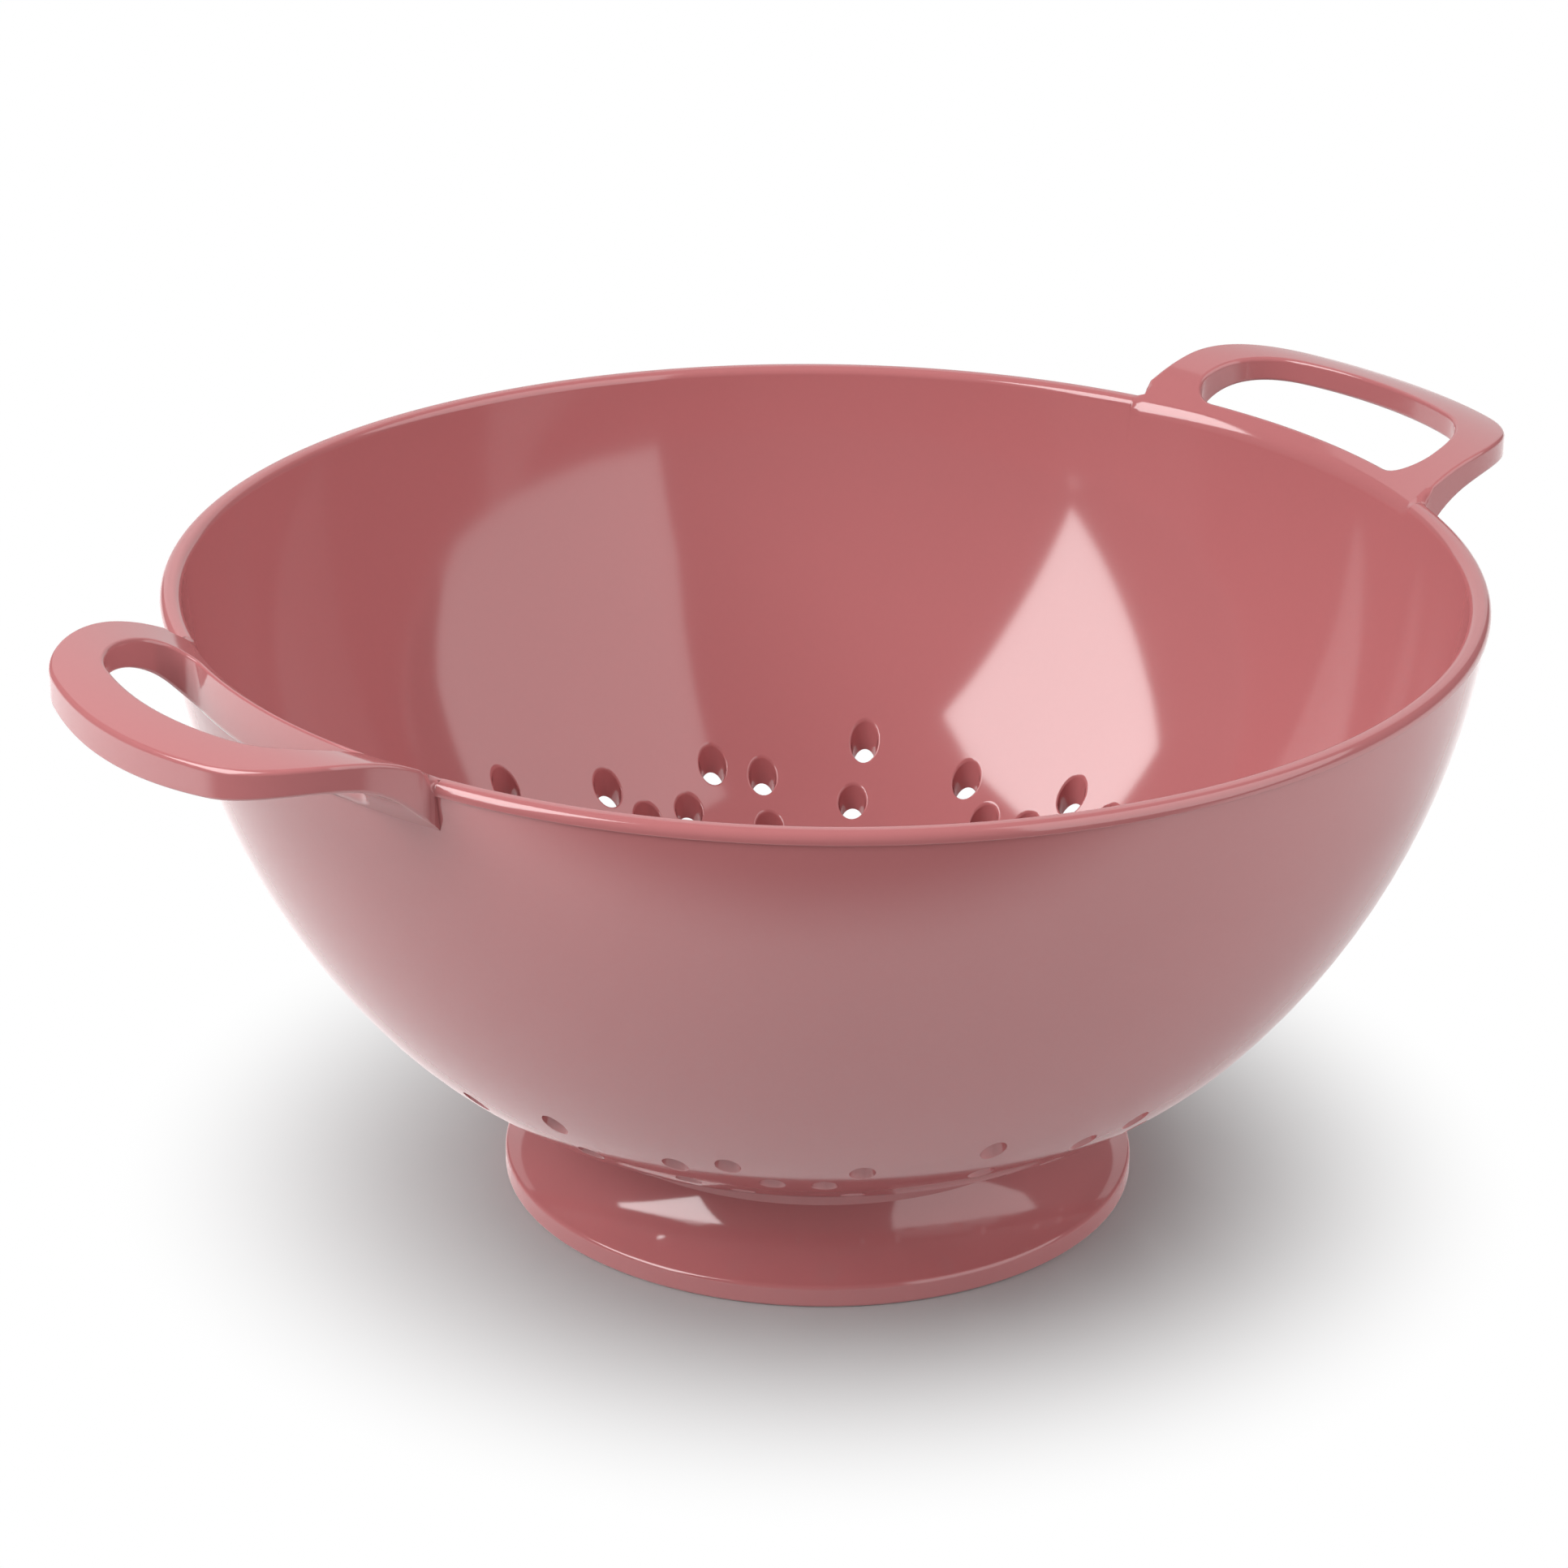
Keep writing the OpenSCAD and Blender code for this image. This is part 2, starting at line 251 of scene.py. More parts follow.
def flat_sector():
    """One seventh of the perforated wall, laid flat: outer face at z -1, inner at z 1."""
    centres = hole_centres([0])
    radii = np.linspace(MOUTH_R, SHEET_R, SECTOR_ROWS)
    columns = SECTOR_START + np.linspace(0, sector_turn, SECTOR_COLUMNS + 1)
    # The straight edges swing a little, so that no three of their places are in line
    swing = np.where(np.arange(len(radii)) % 2, SWING, 0.0) / radii
    ends = [radii[:, None] * circle(a + swing) for a in columns[[0, -1]]]
    outer = SHEET_R * circle(columns)
    middle_turns = SECTOR_START + np.linspace(0, sector_turn, HOLE_SIDES // SECTORS + 1)
    inner = MOUTH_R * circle(middle_turns)
    border = np.vstack([ends[0][:-1], outer[:-1], ends[1][:0:-1], inner[:0:-1]])
    loops = [(border, True)]
    loops += [(c + MOUTH_R * circle(hole_turns), True) for c in centres]
    extra = []
    for r in np.arange(MOUTH_R + SHEET_STEP, SHEET_R - SHEET_STEP / 2, SHEET_STEP):
        steps = max(2, int(round(r * sector_turn / SHEET_SPAN)))
        for k in range(1, steps):
            a = SECTOR_START + sector_turn * k / steps
            p = np.array([r * math.cos(a), r * math.sin(a)])
            if np.linalg.norm(centres - p, axis=1).min() > MOUTH_R + HOLE_CLEAR:
                extra.append(p)

    # A hole's sides are chords, so the middles of its own triangles lie well within it
    def keep(middles):
        away = np.linalg.norm(middles[:, None] - centres[None], axis=2).min(1)
        return (away > CHORD_SHARE * MOUTH_R) & inside(middles, border)

    flat, triangles = fill(loops, extra, keep)
    # Both faces share the triangles, and the holes' rounded sides join them
    count = len(flat)
    points = [(*p, -1.0) for p in flat] + [(*p, 1.0) for p in flat]
    rounding = [0.0] * (2 * count)
    faces = triangles + [tuple(i + count for i in f) for f in triangles]
    rims = [(np.array([0.0, 0.0]), HOLE_SIDES // SECTORS + 1, middle_turns, False)]
    rims += [(c, HOLE_SIDES, hole_turns, True) for c in centres]
    for centre, sides, turns, closed in rims:
        rows = []
        rings = [(-1.0, MOUTH_R, 0.0)]
        rings += [(-1.0, EXIT_R + EXIT_EDGE * (1 - math.sin(s)), s) for s in edge_turns[::-1]]
        rings += [(1.0, MOUTH_R - MOUTH_EDGE * math.sin(s), s) for s in edge_turns]
        for level, radius, step in rings:
            rows.append(len(points))
            points += [(*place, level) for place in centre + radius * circle(turns)]
            rounding += [step] * sides
        for low, high in zip(rows[:-1], rows[1:]):
            for k in range(sides if closed else sides - 1):
                n = (k + 1) % sides
                faces.append((low + k, low + n, high + n, high + k))
    return points, faces, rounding


class Wire:
    """A socket that adds Math nodes when it is used in an expression."""

    def __init__(self, tree, socket):
        self.tree, self.socket = tree, socket

    def maths(self, operation, first, second):
        return node(self.tree, "ShaderNodeMath", {"operation": operation}, {0: first, 1: second})

    def __add__(self, other):
        return self.maths("ADD", self, other)

    def __sub__(self, other):
        return self.maths("SUBTRACT", self, other)

    def __rsub__(self, other):
        return self.maths("SUBTRACT", other, self)

    def __mul__(self, other):
        return self.maths("MULTIPLY", self, other)

    __radd__, __rmul__ = __add__, __mul__


def node(tree, kind, settings=(), sockets=(), output=0):
    """The wire from a node: its settings are made first, then its sockets filled or linked."""
    made = tree.nodes.new(kind)
    for name, value in dict(settings).items():
        setattr(made, name, value)
    for key, value in dict(sockets).items():
        if isinstance(value, Wire):
            tree.links.new(value.socket, made.inputs[key])
        else:
            made.inputs[key].default_value = value
    return Wire(tree, made.outputs[output]) if len(made.outputs) else None


def sector_tree(material):
    """Repeats the flat sector round the bowl's axis and joins the copies."""
    tree = bpy.data.node_groups.new("round_the_bowl", "GeometryNodeTree")
    inputs = {"Sector": "Geometry", "Sectors": "Int", "Turn": "Float", "Join distance": "Float"}
    for name, kind in inputs.items():
        tree.interface.new_socket(name, in_out="INPUT", socket_type="NodeSocket" + kind)
    tree.interface.new_socket("Wall", in_out="OUTPUT", socket_type="NodeSocketGeometry")
    given = tree.nodes.new("NodeGroupInput").outputs
    sector, sectors, turn, join = (Wire(tree, given[name]) for name in inputs)
    way = node(
        tree, "ShaderNodeCombineXYZ", sockets={"Z": node(tree, "GeometryNodeInputIndex") * turn}
    )
    places = node(tree, "GeometryNodePoints", sockets={"Count": sectors})
    placed = {"Points": places, "Instance": sector, "Rotation": way}
    copies = node(tree, "GeometryNodeInstanceOnPoints", sockets=placed)
    real = node(tree, "GeometryNodeRealizeInstances", sockets={0: copies})
    whole = node(
        tree, "GeometryNodeMergeByDistance", sockets={"Geometry": real, "Distance": join}
    )
    wall = node(
        tree, "GeometryNodeSetMaterial", sockets={"Geometry": whole, "Material": material}
    )
    node(tree, "NodeGroupOutput", sockets={"Wall": wall})
    return tree


JOIN_REACH = 0.004


def flat_wall(material):
    """The whole perforated wall laid flat, made by repeating its sector."""
    points, faces, rounding = flat_sector()
    mesh = bpy.data.meshes.new("flat_sector")
    mesh.from_pydata([tuple(float(c) for c in p) for p in points], [], faces)
    layer = mesh.attributes.new("rounding", "FLOAT", "POINT")
    layer.data.foreach_set("value", np.array(rounding, np.float32))
    holder = bpy.data.objects.new("flat_sector", mesh)
    bpy.context.scene.collection.objects.link(holder)
    modifier = holder.modifiers.new("round_the_bowl", "NODES")
    tree = sector_tree(material)
    modifier.node_group = tree
    values = {"Sectors": SECTORS, "Turn": sector_turn, "Join distance": JOIN_REACH}
    for item in tree.interface.items_tree:
        if item.in_out == "INPUT" and item.name in values:
            modifier[item.identifier] = values[item.name]
    ready = holder.evaluated_get(bpy.context.evaluated_depsgraph_get())
    whole = bpy.data.meshes.new_from_object(ready)
    count = len(whole.vertices)
    places = np.zeros(count * 3, np.float32)
    whole.vertices.foreach_get("co", places)
    turns = np.zeros(count, np.float32)
    whole.attributes["rounding"].data.foreach_get("value", turns)
    polygons = [tuple(p.vertices) for p in whole.polygons]
    bpy.data.objects.remove(holder)
    bpy.data.meshes.remove(whole)
    return places.reshape(-1, 3).astype(float), turns.astype(float), polygons


def lift_wall(flat, turns):
    """Gives the flat wall its height, the soft edges of its holes and its directions."""
    r = np.maximum(np.linalg.norm(flat[:, :2], axis=1), 1e-9)
    out_way = flat[:, :2] / r[:, None]
    inner = flat[:, 2] > 0
    z = np.zeros(len(flat))
    normals = np.zeros((len(flat), 3))
    sides = ((~inner, 0.0, -1.0, EXIT_EDGE), (inner, WALL, 1.0, MOUTH_EDGE))
    for side, depth, sign, edge in sides:
        height, slope = wall_height(r[side], depth)
        z[side] = height - sign * edge * (1 - np.cos(turns[side]))
        across = -sign * slope[:, None] * out_way[side]
        face = np.column_stack([across, np.full(side.sum(), sign)])
        normals[side] = face / np.linalg.norm(face, axis=1)[:, None]
    centres = np.vstack([[[0.0, 0.0]], hole_centres(range(SECTORS))])
    edge = np.where(turns > 0.01)[0]
    gap = flat[edge][:, None, :2] - centres[None]
    nearest = np.linalg.norm(gap, axis=2).argmin(1)
    inward = -gap[np.arange(len(edge)), nearest]
    inward /= np.linalg.norm(inward, axis=1)[:, None]
    mixed = normals[edge] * np.cos(turns[edge])[:, None]
    mixed[:, :2] += inward * np.sin(turns[edge])[:, None]
    normals[edge] = mixed / np.linalg.norm(mixed, axis=1)[:, None]
    return np.column_stack([flat[:, :2], z]), normals


def bend(centre, radius, start, end, steps, side=1.0):
    """Places and directions along an arc of a section; side -1 is a hollow arc."""
    way = circle(np.linspace(start, end, steps + 1))
    return np.column_stack([np.asarray(centre) + radius * way, side * way])


# Each handle's root fills a notch of the rim, with a hairline seam at both ends
HANDLE_W = 79.8
ROOT_FILLET = 0.8
SEAM_GAP = 0.01
SEAM_EDGE = 0.002
LEDGE_DROP = 8.8
root_half = math.asin((HANDLE_W / 2 + ROOT_FILLET) / (rim_r + ROOT_FILLET))
notch_half = root_half + SEAM_GAP / rim_r
ledge_z = rim_z - LEDGE_DROP


def side_rows(low, high, depth, steps, sign):
    """Rows of the upper wall arc between two heights."""
    turns = [math.asin((z - side_c[1]) / (SIDE_R - depth)) for z in (low, high)]
    return bend(side_c, SIDE_R - depth, *turns, steps, sign)


# Rows of the wall between its perforated part and the level of the ledges
LOW_ROWS = 12


def rim_rows():
    """The section from the perforated wall's outer edge, over the rim, to its inner edge."""
    rows = [side_rows(wall_height(SHEET_R, 0)[0], ledge_z, 0.0, LOW_ROWS, 1.0)]
    rows.append(side_rows(ledge_z, bead_z - CREASE_R, 0.0, 3, 1.0)[1:])
    under_bead = [rim_r - BEAD_OUT + CREASE_R, bead_z - CREASE_R]
    rows.append(bend(under_bead, CREASE_R, math.pi, math.pi / 2, 3, -1.0)[1:])
    rows.append(bend([rim_r - CREASE_R, bead_z + CREASE_R], CREASE_R, -math.pi / 2, 0.0, 3))
    edge_z = rim_z - RIM_ROUND
    rows.append(bend([rim_r - RIM_ROUND, edge_z], RIM_ROUND, 0.0, math.pi / 2, 8))
    lean = math.asin((side_c[1] - edge_z) / (SIDE_R - WALL + RIM_ROUND))
    inner_c = [wall_radius(edge_z, WALL - RIM_ROUND), edge_z]
    rows.append(bend(inner_c, RIM_ROUND, math.pi / 2, math.pi - lean, 8))
    touch = edge_z + RIM_ROUND * math.sin(lean)
    rows.append(side_rows(touch, ledge_z, WALL, 3, -1.0)[1:])
    rows.append(side_rows(ledge_z, wall_height(SHEET_R, WALL)[0], WALL, LOW_ROWS, -1.0)[1:])
    return np.vstack(rows)


def turn_between(a, b):
    """The smaller turn between two directions."""
    return abs(math.remainder(a - b, FULL))


# Columns of the wall nearer than this turn to a notch's end give way to it
COLUMN_CLEAR = 0.004


def rim_band():
    """The wall above the holes, with the rim and the two notches for the handles."""
    rows = rim_rows()
    low_ledge, high_ledge = LOW_ROWS, len(rows) - 1 - LOW_ROWS
    column_turn = sector_turn / SECTOR_COLUMNS
    columns = range(SECTORS * SECTOR_COLUMNS)
    lower = sorted((SECTOR_START + k * column_turn) % FULL for k in columns)
    ends = [(m + s * notch_half) % FULL for m in (0.0, math.pi) for s in (-1, 1)]
    clear = [a for a in lower if min(turn_between(a, e) for e in ends) > COLUMN_CLEAR]
    upper = sorted(clear + ends)
    points, normals, faces, index = [], [], [], {}

    def put(row, angle):
        key = (row, angle)
        if key not in index:
            r, z, out, up = rows[row]
            index[key] = len(points)
            points.append((r * math.cos(angle), r * math.sin(angle), z))
            normals.append((out * math.cos(angle), out * math.sin(angle), up))
        return index[key]

    def in_notch(angle):
        return min(turn_between(angle, m) for m in (0.0, math.pi)) < notch_half - 1e-6

    last = len(rows) - 1
    count = len(upper)
    for i in range(1, last - 1):
        for k in range(count):
            a, b = upper[k], upper[(k + 1) % count]
            middle = a + 0.5 * ((b - a) % FULL)
            if low_ledge <= i < high_ledge and in_notch(middle):
                continue
            faces.append((put(i, a), put(i, b), put(i + 1, b), put(i + 1, a)))
    # The two cut ends of each notch
    for end in ends:
        cut = [index[(row, end)] for row in range(low_ledge, high_ledge + 1)]
        first = len(points)
        way = -math.copysign(1.0, math.remainder(end, math.pi))
        for i in cut:
            points.append(points[i])
            normals.append((-math.sin(end) * way, math.cos(end) * way, 0.0))
        faces.append(tuple(range(first, first + len(cut))))
    for edge, row in ((0, 1), (last, last - 1)):
        low = [(a, put(edge, a)) for a in lower]
        high = [(a, put(row, a)) for a in upper]
        faces += zip_rows(low, high)
    # The ledge that closes each notch below
    for middle in (0.0, math.pi):
        ledge = [a for a in upper if turn_between(a, middle) < notch_half + 1e-6]
        ledge.sort(key=lambda a: math.remainder(a - middle, FULL))
        for a, b in zip(ledge[:-1], ledge[1:]):
            first = len(points)
            for key in ((low_ledge, a), (low_ledge, b), (high_ledge, b), (high_ledge, a)):
                points.append(points[index[key]])
                normals.append((0.0, 0.0, 1.0))
            faces.append(tuple(range(first, first + 4)))
    return points, faces, normals


def zip_rows(low, high):
    """Triangles between two closed rows of places round the bowl."""
    faces, i, j = [], 0, 0
    while i < len(low) or j < len(high):
        next_low = low[(i + 1) % len(low)][0] + FULL * ((i + 1) // len(low))
        next_high = high[(j + 1) % len(high)][0] + FULL * ((j + 1) // len(high))
        a, b = low[i % len(low)][1], high[j % len(high)][1]
        if j >= len(high) or (i < len(low) and next_low <= next_high):
            faces.append((a, low[(i + 1) % len(low)][1], b))
            i += 1
        else:
            faces.append((a, high[(j + 1) % len(high)][1], b))
            j += 1
    return faces


RING_SIDES = 240


def turned_ring(rows):
    """A closed section turned right round the bowl's axis."""
    points, normals, faces = [], [], []
    count = len(rows)
    for k in range(RING_SIDES):
        a = FULL * k / RING_SIDES
        c, s = math.cos(a), math.sin(a)
        points += [(p[0] * c, p[0] * s, p[1]) for p in rows]
        normals += [(p[2] * c, p[2] * s, p[3]) for p in rows]
        n = (k + 1) % RING_SIDES
        for i in range(count):
            j = (i + 1) % count
            faces.append((k * count + i, n * count + i, n * count + j, k * count + j))
    return points, faces, normals


def joined(*parts):
    """Several meshes as one."""
    points, faces, normals = [], [], []
    for p, f, n in parts:
        first = len(points)
        points += [tuple(x) for x in p]
        normals += [tuple(x) for x in n]
        faces += [tuple(i + first for i in face) for face in f]
    return points, faces, normals


PINK = (0.475, 0.155, 0.16, 1.0)
PINK_LIGHT = (0.515, 0.175, 0.18, 1.0)
GLOSS_ROUGHNESS = 0.095
RESIN_IOR = 1.65


def blank_material(name):
    """A material with an empty node tree, and the tree."""
    material = bpy.data.materials.new(name)
    material.use_nodes = True
    material.node_tree.nodes.clear()
    return material, material.node_tree


def melamine(name):
    """Pink moulding compound, cured glossy: its colour drifts and its gloss ripples faintly."""
    material, tree = blank_material(name)
    place = node(tree, "ShaderNodeTexCoord", output="Object")

    def noise(scale, detail):
        sockets = {"Vector": place, "Scale": scale, "Detail": detail, "Roughness": 0.5}
        return node(tree, "ShaderNodeTexNoise", sockets=sockets, output="Fac")

    cloud = noise(28.0, 3.0)
    grain = noise(900.0, 2.0)
    ripple = noise(60.0, 1.0)
    drift = (cloud - 0.5) * 0.5 + (grain - 0.5) * 0.25 + 0.5
    pinks = {0: drift, 6: PINK, 7: PINK_LIGHT}
    relief = {"Strength": 0.05, "Distance": 0.0004, "Height": ripple + grain * 0.02}
    skin = {
        "Base Color": node(tree, "ShaderNodeMix", {"data_type": "RGBA"}, pinks, 2),
        "Roughness": (cloud - 0.5) * 0.03 + (grain - 0.5) * 0.02 + GLOSS_ROUGHNESS,
        "IOR": RESIN_IOR,
        "Normal": node(tree, "ShaderNodeBump", sockets=relief),
    }
    shader = node(tree, "ShaderNodeBsdfPrincipled", sockets=skin)
    node(tree, "ShaderNodeOutputMaterial", sockets={"Surface": shader})
    return material


bowl_melamine = melamine("bowl_melamine")
flat_points, edge_leans, wall_faces = flat_wall(bowl_melamine)
wall_points, wall_normals = lift_wall(flat_points, edge_leans)

# The bowl's land and locating ring take the foot's neck, so the foot's sizes set them
FOOT_R = 59.5
LIP_ROUND = 0.7
LIP_TOP = 1.0
LIP_H = 4.4
FLARE_R = 10.4
SHALLOW_R, FLARE_END = 18.0, math.radians(21)
FOOT_WALL = 3.9
TREAD_W = 4.2
RING_W = 3.0
RING_D = 3.0
SEAT_LAND = 0.4
SEAT_BITE = 1.2
FIT_GAP = 0.1
neck_r = FOOT_R - LIP_ROUND - FLARE_R
ring_r = neck_r - FOOT_WALL - FIT_GAP
seat_z = float(wall_height(ring_r, 0)[0]) - SEAT_LAND


def square_rows(places):
    """A closed section of straight sides, with every corner kept sharp."""
    rows = []
    for a, b in zip(places, places[1:] + places[:1]):
        way = np.array([b[1] - a[1], a[0] - b[0]])
        way = way / np.linalg.norm(way)
        rows += [(*a, *way), (*b, *way)]
    return np.array(rows)


seat_rows = square_rows([
    (ring_r - RING_W, float(wall_height(ring_r - RING_W, 0)[0]) + SEAT_BITE),
    (ring_r - RING_W, seat_z - RING_D),
    (ring_r, seat_z - RING_D),
    (ring_r, seat_z),
    (neck_r, seat_z),
    (neck_r, float(wall_height(neck_r, 0)[0]) + SEAT_BITE),
])
bowl = mesh_piece(
    "bowl_shell",
    *joined((wall_points, wall_faces, wall_normals), rim_band()),
    bowl_melamine,
)
seat = mesh_piece("bowl_seat", *turned_ring(seat_rows), bowl_melamine)
for piece in (bowl, seat):
    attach(piece, "root")
    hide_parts("bowl")

# The foot
# A hollow flared ring of the same melamine, moulded by itself because its neck is
# narrower than its lip, and bonded round the ring under the bowl.
foot_melamine = melamine("foot_melamine")


def foot_rows():
    """The foot's closed section: tread, lip, flare, neck, and the hollow inside."""
    # The flare is a shallow arc that meets the neck and the lip's rounding in corners
    lip_end = np.array([
        FOOT_R - LIP_TOP * (1 - math.sin(FLARE_END)),
        LIP_H - LIP_TOP * (1 - math.cos(FLARE_END)),
    ])
    shallow_c = lip_end + SHALLOW_R * np.array([math.sin(FLARE_END), math.cos(FLARE_END)])
    meets_z = shallow_c[1] - math.sqrt(SHALLOW_R**2 - (shallow_c[0] - neck_r) ** 2)
    top_turn = math.pi + math.asin((shallow_c[1] - meets_z) / SHALLOW_R)
    rows = [
        bend([FOOT_R - LIP_ROUND, LIP_ROUND], LIP_ROUND, -math.pi / 2, 0.0, 6),
        bend([FOOT_R - LIP_TOP, LIP_H - LIP_TOP], LIP_TOP, 0.0, math.pi / 2 - FLARE_END, 8),
        bend(shallow_c, SHALLOW_R, 1.5 * math.pi - FLARE_END, top_turn, 24, -1.0)[1:],
        np.array([(neck_r, meets_z, 1.0, 0.0)]),
        np.array([(neck_r, seat_z, 1.0, 0.0)]),
        np.array([(neck_r, seat_z, 0.0, 1.0), (neck_r - FOOT_WALL, seat_z, 0.0, 1.0)]),
        np.array([(neck_r - FOOT_WALL, seat_z, -1.0, 0.0)]),
    ]
    # The hollow follows a deeper arc, one wall's thickness in from the neck
    inner_r = FLARE_R + FOOT_WALL
    small = LIP_ROUND / 2
    hollow_c = np.array([neck_r + FLARE_R, LIP_H + FLARE_R])
    low = math.pi + math.acos((hollow_c[0] - FOOT_R + TREAD_W) / inner_r)
    rows.append(bend(hollow_c, inner_r, math.pi, low, 20))
    rows.append(bend([FOOT_R - TREAD_W + small, small], small, math.pi, 1.5 * math.pi, 4))
    return np.vstack(rows)


foot = mesh_piece("foot_ring", *turned_ring(foot_rows()), foot_melamine)
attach(foot, "root")
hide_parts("foot")

# The handles
# Two arched loops, each one moulding with a wall-high root that fills a notch of the
# rim and sits on its ledge. The top swells over the fingers, the underside is hollow
# and runs down to the wall as a gusset, and every free edge is softened.
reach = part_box("handle_right")[1].x / MM
DOME_R = 79.6
SHOULDER_R = 22.7
CREST_OUT, CREST_RISE = 18.7, 7.15
ARCH_R = 34.3
HANDLE_T = 4.9
UNDER_R = 21.7
SLOT_L = 61.8
SLOT_DOME_R, SLOT_SHOULDER_R = 69.2, 15.5
GRIP_W = 9.1
HANDLE_EDGE = 0.8
INNER_EDGE = 1.75
crest_r = rim_r + CREST_OUT
arch_z = rim_z + CREST_RISE - ARCH_R
under_z = rim_z + CREST_RISE - HANDLE_T - UNDER_R
gusset_foot = np.array([wall_radius(ledge_z, 0.0), ledge_z])
to_under = np.array([crest_r, under_z]) - gusset_foot
gusset_reach = np.linalg.norm(to_under)
gusset_slope = math.atan2(to_under[1], to_under[0]) + math.asin(UNDER_R / gusset_reach)
gusset_run = math.sqrt(gusset_reach**2 - UNDER_R**2)
gusset_top_r = gusset_foot[0] + gusset_run * math.cos(gusset_slope)
ROOT_BLEND = 1.8
ROOT_RISE = 1.8
INNER_DROP = 3.35
inner_r = wall_radius(rim_z - INNER_DROP, WALL)
ledge_shift = inner_r - wall_radius(ledge_z, WALL)


def rim_top(r):
    """Height of the bowl's rim, carried on outward at its outer edge's height."""
    edge_z = rim_z - RIM_ROUND
    inner_c, outer_c = wall_radius(edge_z, WALL - RIM_ROUND), rim_r - RIM_ROUND
    off = np.where(r < inner_c, inner_c - r, np.maximum(r - outer_c, 0.0))
    z = edge_z + np.sqrt(np.maximum(RIM_ROUND**2 - np.minimum(off, RIM_ROUND) ** 2, 0.0))
    steep = 9.0
    below = z - (off - RIM_ROUND) * steep
    return np.where((off > RIM_ROUND) & (r < inner_c), below, z)


def eased(share):
    """A share that starts and ends gently."""
    return share * share * (3 - 2 * share)


def top_height(x, y):
    """Height of the handle's arched top, which meets the rim at the root's ends."""
    r = np.hypot(x, y)
    arch = arch_z + np.sqrt(ARCH_R**2 - (r - crest_r) ** 2)
    near = np.clip((r - inner_r) / INNER_EDGE, 0.0, 1.0)
    loop = arch - INNER_EDGE * (1 - np.sqrt(1 - (1 - near) ** 2))
    beyond = np.clip((r - rim_r) / ROOT_RISE, 0.0, 1.0)
    from_end = (root_half - np.abs(np.arctan2(y, x))) * r
    share = np.clip(1 - from_end / ROOT_BLEND, 0.0, 1.0)
    return loop - (loop - rim_top(r)) * (1 - eased(beyond)) * eased(share)


def top_face(at):
    """Height of the top at places of the plan, and its direction."""
    step = 0.02
    x, y = at[:, 0], at[:, 1]
    r = np.hypot(x, y)
    way = at / r[:, None]
    # Slopes are taken outward, so that none is measured over the inner edge
    low, high = np.maximum(r - step, inner_r), r + step
    out_rise = top_height(*(way * high[:, None]).T) - top_height(*(way * low[:, None]).T)
    out_slope = out_rise / (high - low)
    c, s = np.cos(step / r), np.sin(step / r)
    ahead, behind = (x * c - y * s, x * s + y * c), (x * c + y * s, -x * s + y * c)
    along_slope = (top_height(*ahead) - top_height(*behind)) / (2 * step)
    along = np.stack([-way[:, 1], way[:, 0]], 1)
    level = -out_slope[:, None] * way - along_slope[:, None] * along
    normal = np.column_stack([level, np.ones(len(at))])
    # At the inner edge the direction is the wall's, with a slight lift
    lift = 0.05
    edge = r < inner_r + 1e-6
    normal[edge] = np.column_stack([-way[edge], np.full(edge.sum(), lift)])
    return top_height(x, y), normal / np.linalg.norm(normal, axis=1)[:, None]


def under_face(r):
    """Height of the underside and its direction, with the gusset and the ledge seat."""
    r = np.asarray(r, float)
    rise = np.sqrt(np.maximum(UNDER_R**2 - (r - crest_r) ** 2, 0.0))
    z, out, up = under_z + rise, -(r - crest_r) / UNDER_R, -rise / UNDER_R
    line = r < gusset_top_r
    slope = math.tan(gusset_slope)
    z = np.where(line, ledge_z + (r - gusset_foot[0]) * slope, z)
    out = np.where(line, math.sin(gusset_slope), out)
    up = np.where(line, -math.cos(gusset_slope), up)
    seated = r < gusset_foot[0] - 1e-6
    return np.where(seated, ledge_z, z), np.where(seated, 0.0, out), np.where(seated, -1.0, up)


def plan_arc(centre, radius, start, end, gap=1.1):
    """Places along an arc of the plan, at most a gap apart."""
    steps = max(3, int(math.ceil(abs(end - start) * radius / gap)))
    return np.asarray(centre) + radius * circle(np.linspace(start, end, steps + 1))


def mirrored(half):
    """The other half of an outline, in the order that goes on from the first."""
    return half[::-1] * np.array([1.0, -1.0])


